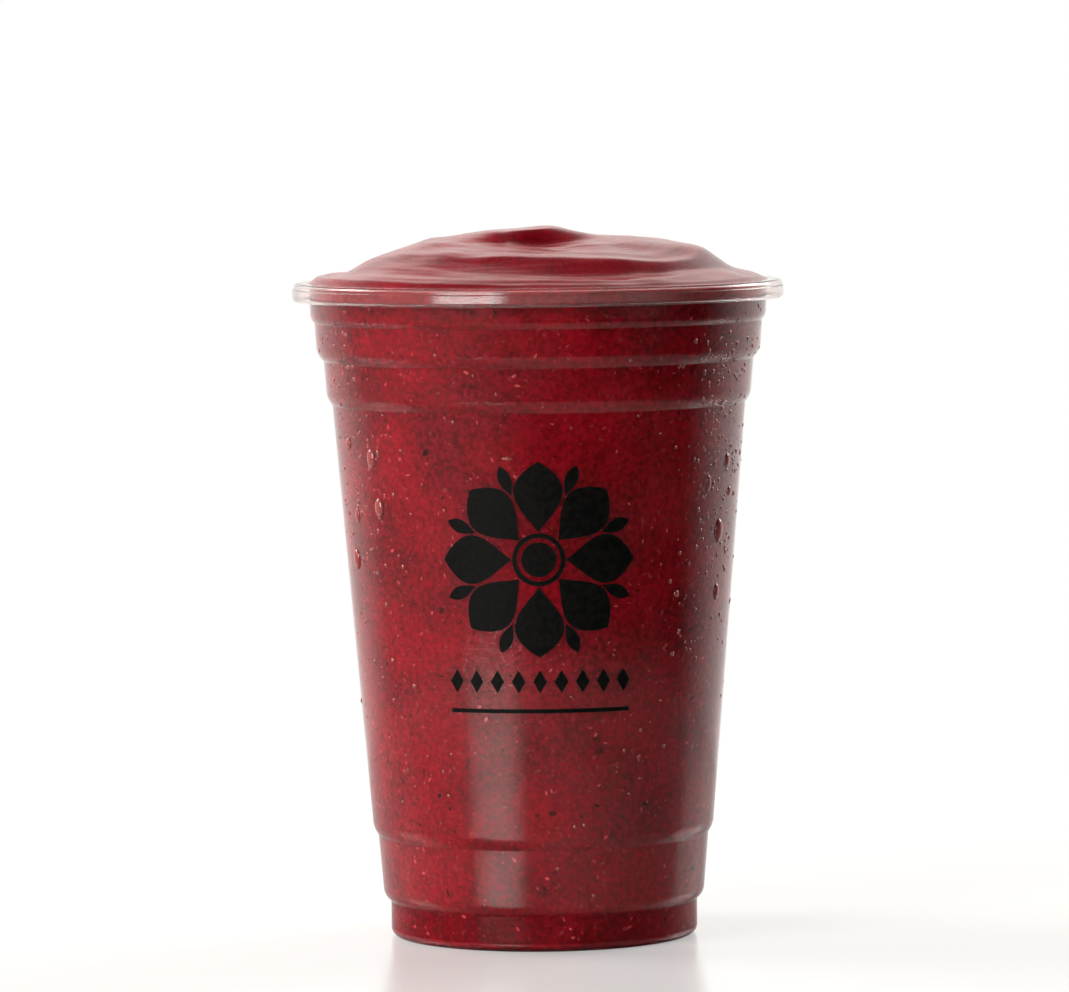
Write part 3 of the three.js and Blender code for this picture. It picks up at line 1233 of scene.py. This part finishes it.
@dataclass
class Rosette:
    """A plain ornament in dark ink on the front: petals about a ring, over lozenges and a rule."""

    cup: Cup
    azimuth: float = -0.6
    level: float = 78.0
    film: float = 0.03
    petals: int = 8
    petal_start: float = 5.4
    petal_length: float = 13.8
    petal_width: float = 9.6
    leaf_start: float = 13.6
    leaf_length: float = 6.2
    leaf_width: float = 2.6
    eye_radius: float = 3.4
    ring_radius: float = 5.2
    ring_width: float = 0.9
    lozenges: int = 9
    lozenge_level: float = 54.0
    lozenge_pitch: float = 4.2
    lozenge_width: float = 2.7
    lozenge_height: float = 4.6
    rule_level: float = 48.2
    rule_length: float = 36.0
    rule_height: float = 0.8
    petal_lean: float = 1.25
    petal_fullness: float = 0.85
    petal_faces: tuple[int, int] = (6, 16)
    leaf_faces: tuple[int, int] = (4, 10)
    eye_faces: tuple[int, int] = (48, 4)
    ring_faces: tuple[int, int] = (64, 2)
    lozenge_faces: tuple[int, int] = (4, 8)
    rule_faces: tuple[int, int] = (48, 2)

    def inked(self, ink: Mesh, shape: Form, across: int, along: int) -> None:
        """Lays one patch of ink on the wall.

        Args:
            ink: The mesh that gets it.
            shape: Turns a place on a square into a place on the unrolled wall.
            across: The number of faces across it.
            along: The number of faces along it.
        """
        sheet = bmesh.ops.create_grid(ink, x_segments=across, y_segments=along, size=1.0)
        for vert in sheet["verts"]:
            flat = shape(vert.co.x, vert.co.y)
            level = self.level + flat.y
            azimuth = self.azimuth + math.degrees(flat.x / self.cup.radius_at(level))
            vert.co = self.cup.on_wall(azimuth, level, -self.film).translation

    def petal(self, turn: float, start: float, length: float, width: float) -> Form:
        """Returns the shape of a pointed petal that leaves the middle at a turn."""

        def shape(across: float, along: float) -> Vector:
            """Returns the place on the petal."""
            share = (along + 1.0) / 2.0
            side = across * width / 2.0 * math.sin(math.pi * share ** self.petal_lean) ** self.petal_fullness
            return Matrix.Rotation(turn, 2) @ Vector((side, start + length * share))

        return shape

    def band(self, inner: float, outer: float) -> Form:
        """Returns the shape of a ring about the middle."""

        def shape(across: float, along: float) -> Vector:
            """Returns the place on the ring."""
            radius = mix(outer, inner, (along + 1.0) / 2.0)
            return radius * Vector((math.cos(math.pi * across), math.sin(math.pi * across)))

        return shape

    def tile(self, side: float, level: float, width: float, height: float, point: float) -> Form:
        """Returns the shape of a small bar, or of a lozenge where it comes to a point."""

        def shape(across: float, along: float) -> Vector:
            """Returns the place on the bar."""
            half = width / 2.0 * (1.0 - point * abs(along))
            return Vector((side + across * half, level - self.level + along * height / 2.0))

        return shape

    def build(self, dye: Material) -> Piece:
        """Prints the ornament.

        Args:
            dye: The ink's material.

        Returns:
            The piece.
        """
        ink = bmesh.new()
        step = FULL_TURN / self.petals
        for i in range(self.petals):
            petal = self.petal(i * step, self.petal_start, self.petal_length, self.petal_width)
            self.inked(ink, petal, *self.petal_faces)
            leaf = self.petal((i + 0.5) * step, self.leaf_start, self.leaf_length, self.leaf_width)
            self.inked(ink, leaf, *self.leaf_faces)
        self.inked(ink, self.band(0.0, self.eye_radius), *self.eye_faces)
        ring = self.band(self.ring_radius - self.ring_width, self.ring_radius)
        self.inked(ink, ring, *self.ring_faces)
        for i in range(self.lozenges):
            side = (i - (self.lozenges - 1) / 2.0) * self.lozenge_pitch
            lozenge = self.tile(side, self.lozenge_level, self.lozenge_width, self.lozenge_height, 1.0)
            self.inked(ink, lozenge, *self.lozenge_faces)
        rule = self.tile(0.0, self.rule_level, self.rule_length, self.rule_height, 0.0)
        self.inked(ink, rule, *self.rule_faces)
        bmesh.ops.remove_doubles(ink, verts=ink.verts, dist=10.0 * MERGE_DISTANCE)
        bmesh.ops.solidify(ink, geom=ink.faces[:], thickness=2.0 * self.film)
        bmesh.ops.recalc_face_normals(ink, faces=ink.faces)
        return finished(ink, "front_rosette", Slot.CLEAR_PLASTIC, dye)


@dataclass
class FootRibs:
    """Short upright ribs that keep stacked cups from jamming."""

    cup: Cup
    azimuths: tuple[float, ...] = (-42.5, 42.5, 137.5, -137.5)
    level: float = 4.5
    length: float = 4.6
    width: float = 0.6
    depth: float = 0.36
    rounding: float = 0.14
    rounding_steps: int = 3

    def build(self, plastic: Material) -> Piece:
        """Makes the ribs.

        Args:
            plastic: Their material.

        Returns:
            The piece.
        """
        rib = bmesh.new()
        bmesh.ops.create_cube(rib, size=1.0)
        bmesh.ops.scale(rib, vec=(self.width, self.length, self.depth), verts=rib.verts)
        bmesh.ops.bevel(
            rib,
            geom=rib.edges[:],
            offset=self.rounding,
            affect="EDGES",
            segments=self.rounding_steps,
            profile=0.5,
            material=-1,
        )
        places = [self.cup.on_wall(azimuth, self.level) for azimuth in self.azimuths]
        return finished(repeated(rib, places), "foot_ribs", Slot.CLEAR_PLASTIC, plastic)


@dataclass(frozen=True)
class Softbox:
    """A soft lamp that faces the cup, with a face that fades towards its edges."""

    name: str
    azimuth: float
    elevation: float
    distance: float
    width: float
    height: float
    radiance: float
    lights: bool = True
    reflects: bool = True
    margin: float = 0.25
    target: Vector = Vector((0.0, 0.0, 0.07))

    def fade(self, lamp: bpy.types.Light) -> None:
        """Lets the lamp's face fade towards its edges.

        Args:
            lamp: The lamp.
        """
        lamp.use_nodes = True
        graph = NodeGraph(lamp.node_tree)
        spot = graph.add("ShaderNodeNewGeometry").outputs["Parametric"]
        face = graph.add("ShaderNodeSeparateXYZ", Vector=spot)
        shares = []
        for axis in "XY":
            way = face.outputs[axis]
            inset = graph.maths("MINIMUM", way, graph.maths("SUBTRACT", 1.0, way))
            shares.append(graph.spread(inset, 0.0, self.margin))
        glow = graph.add("ShaderNodeEmission", Strength=graph.maths("MULTIPLY", *shares))
        graph.show(glow.outputs["Emission"], "ShaderNodeOutputLight")

    def hang(self, colour: tuple[float, float, float]) -> Piece:
        """Hangs the lamp.

        Args:
            colour: Its light's colour.

        Returns:
            The lamp.
        """
        lamp = bpy.data.lights.new(self.name, "AREA")
        lamp.shape = "RECTANGLE"
        lamp.size, lamp.size_y = self.width, self.height
        lamp.energy = self.radiance * math.pi * self.width * self.height
        lamp.color = colour
        self.fade(lamp)
        light = bpy.data.objects.new(self.name, lamp)
        turn, lift = math.radians(self.azimuth), math.radians(self.elevation)
        way = Vector((math.sin(turn) * math.cos(lift), -math.cos(turn) * math.cos(lift), math.sin(lift)))
        facing = way.to_track_quat("Z", "Y").to_matrix().to_4x4()
        light.matrix_world = Matrix.Translation(self.target + self.distance * way) @ facing
        light.visible_camera = False
        light.visible_diffuse = light.visible_transmission = self.lights
        light.visible_glossy = self.reflects
        bpy.context.collection.objects.link(light)
        return light


@dataclass
class Studio:
    """The pale floor, the soft lights and the camera."""

    camera_distance: float = 1.3
    camera_height: float = 0.1742
    camera_side: float = -0.0011
    camera_pitch: float = math.radians(3.8)
    camera_roll: float = math.radians(-0.6)
    focal_length: float = 219.3
    sensor: float = 36.0
    near_clip: float = 0.05
    floor_finish: FloorFinish = FloorFinish()
    floor_steps: int = 128
    floor_drop: float = 0.00003
    light_colour: tuple[float, float, float] = (1.0, 0.975, 0.94)
    behind_glow: Ramp = (-0.03, 0.75, 0.008, 1.0)
    left_glow: Ramp = (-0.95, 0.05, 0.45, 0.0)
    overhead_dimming: Ramp = (0.35, 0.8, 1.0, 0.15)
    front_glow: Ramp = (-0.6, -0.2, 0.5, 0.0)
    front_band: Ramp = (0.04, 0.12, 1.0, 0.0)
    softboxes: tuple[Softbox, ...] = (
        Softbox("left_softbox", -106.0, 30.0, 1.1, 0.7, 0.7, 11.0),
        Softbox("front_softbox", -48.0, 20.0, 1.1, 0.7, 0.5, 13.8, reflects=False),
        Softbox("strip_softbox", -31.0, 17.5, 1.1, 0.9, 0.5, 18.0, lights=False, margin=0.4),
        Softbox("rim_softbox", -32.0, 2.1, 1.1, 0.82, 0.12, 25.0, lights=False),
        Softbox("right_softbox", 125.0, 24.0, 1.0, 0.8, 0.6, 9.0),
    )

    def place_camera(self) -> Piece:
        """Places the camera in front of the cup, a little over its rim.

        Returns:
            The camera.
        """
        lens = bpy.data.cameras.new("camera")
        lens.sensor_width = self.sensor
        lens.lens = self.focal_length
        lens.clip_start = self.near_clip
        camera = bpy.data.objects.new("camera", lens)
        spot = Vector((self.camera_side, -self.camera_distance, self.camera_height))
        tilt = Matrix.Rotation(math.pi / 2.0 - self.camera_pitch, 4, "X")
        camera.matrix_world = Matrix.Translation(spot) @ tilt @ Matrix.Rotation(self.camera_roll, 4, "Z")
        bpy.context.collection.objects.link(camera)
        bpy.context.scene.camera = camera
        return camera

    def lay_floor(self) -> Piece:
        """Lays a round, pale, half-glossy table top under the cup.

        Returns:
            The floor.
        """
        disc = bmesh.new()
        radius = self.floor_finish.radius
        bmesh.ops.create_circle(disc, cap_ends=True, radius=radius, segments=self.floor_steps)
        bmesh.ops.translate(disc, vec=(0.0, 0.0, -self.floor_drop), verts=disc.verts)
        mesh = bpy.data.meshes.new("floor")
        disc.to_mesh(mesh)
        disc.free()
        mesh.materials.append(self.floor_finish.material())
        floor = bpy.data.objects.new("floor", mesh)
        bpy.context.collection.objects.link(floor)
        return floor

    def light(self) -> None:
        """Lights the cup from the left, from above and from the white surroundings behind it."""
        world = bpy.data.worlds.new("studio")
        world.use_nodes = True
        bpy.context.scene.world = world
        graph = NodeGraph(world.node_tree)
        view = graph.add("ShaderNodeTexCoord").outputs["Generated"]
        right, back, up = graph.add("ShaderNodeSeparateXYZ", Vector=view).outputs
        sides = graph.maths(
            "MAXIMUM", graph.spread(back, *self.behind_glow), graph.spread(right, *self.left_glow)
        )
        around = graph.maths("MULTIPLY", sides, graph.spread(up, *self.overhead_dimming))
        steepness = graph.maths("ABSOLUTE", up, 0.0)
        ahead = graph.maths(
            "MULTIPLY", graph.spread(back, *self.front_glow), graph.spread(steepness, *self.front_band)
        )
        around = graph.maths("MAXIMUM", around, ahead)
        seen = graph.add("ShaderNodeLightPath").outputs["Is Camera Ray"]
        glow = graph.maths("MAXIMUM", around, seen)
        colour = graph.blend(seen, (*self.light_colour, 1.0), WHITE)
        backdrop = graph.add("ShaderNodeBackground", Color=colour, Strength=glow)
        graph.show(backdrop.outputs["Background"], "ShaderNodeOutputWorld")
        for softbox in self.softboxes:
            softbox.hang(self.light_colour)

    def set_colours(self) -> None:
        """Shows colours as they are measured."""
        bpy.context.scene.view_settings.view_transform = "Standard"


def main() -> None:
    """Builds the cup, the drink and the studio."""
    logging.basicConfig(level=logging.INFO, format="%(name)s %(message)s")
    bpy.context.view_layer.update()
    cup = Cup()
    plastic = ClearPlasticFinish().material()
    foot_plastic = ClearPlasticFinish("foot_plastic", ior=1.13, fog_whiteness=0.0).material()
    # The rim's plastic is tinted pink, with a faint pink veil, to paint the glow of the drink seen through
    # it.
    rim_plastic_painted_glow = ClearPlasticFinish("rim_plastic_painted_glow", (0.99, 0.92, 0.92, 1.0), ior=1.3, veil=0.025).material()
    cup.build(plastic, foot_plastic, rim_plastic_painted_glow)
    FootRibs(cup).build(foot_plastic)
    side = PureeFinish("puree_behind_plastic", shine=0.1)
    top = PureeFinish(
        "puree_swirl",
        deep=(0.13, 0.0005, 0.004, 1.0),
        bright=(0.43, 0.0045, 0.019, 1.0),
        pulp_contrast=0.3,
        fleck_strength=0.1,
        spot_strength=0.15,
        froth_and_sheen_strength=0.55,
        roughness=0.22,
        shine=0.42,
        wetness=0.1,
        bump_strength=0.12,
    )
    # A darker copy of the puree for the foot: painted shade.
    foot = PureeFinish(
        "puree_painted_shade_in_foot", deep=(0.09, 0.0003, 0.002, 1.0), bright=(0.34, 0.002, 0.012, 1.0), shine=0.1
    )
    # A much lighter copy of the puree behind the rolled rim: painted light where the rim shades the drink.
    brim = PureeFinish(
        "puree_painted_light_at_brim", deep=(0.38, 0.004, 0.010, 1.0), bright=(0.90, 0.020, 0.040, 1.0), shine=0.1
    )
    drink = Smoothie(cup)
    drink.build(*(finish.material() for finish in (side, top, foot, brim)))
    skin = MottledFinish("berry_skin", (0.045, 0.0006, 0.0006, 1.0), (0.13, 0.002, 0.002, 1.0))
    Scraps(
        "berry_skins",
        count=220,
        shortest=0.3,
        longest=1.9,
        slimness=0.25,
        thickness=0.05,
        seed=3,
        largest=DARK_SKINS,
    ).build(drink, skin.material())
    flesh = MottledFinish("berry_flesh", (0.55, 0.01, 0.025, 1.0), (0.85, 0.10, 0.11, 1.0))
    Scraps(
        "flesh_grains", count=2600, shortest=0.25, longest=1.2, slimness=0.2, thickness=0.05, seed=4
    ).build(drink, flesh.material())
    seed = MottledFinish("berry_seed", (0.62, 0.11, 0.09, 1.0), (0.80, 0.25, 0.20, 1.0))
    Scraps(
        "berry_seeds", count=50, shortest=0.3, longest=1.0, slimness=0.25, thickness=0.06, seed=5, lowest=9.0
    ).build(drink, seed.material())
    Dew(cup).build(DewPaintedRedFinish().material())
    ink = MottledFinish(
        "dark_ink",
        (0.002, 0.002, 0.002, 1.0),
        (0.005, 0.005, 0.004, 1.0),
        scale=900.0,
        roughness=0.55,
        shine=0.06,
    )
    Rosette(cup).build(ink.material())
    studio = Studio()
    studio.set_colours()
    studio.lay_floor()
    studio.light()
    studio.place_camera()


if __name__ == "__main__":
    main()
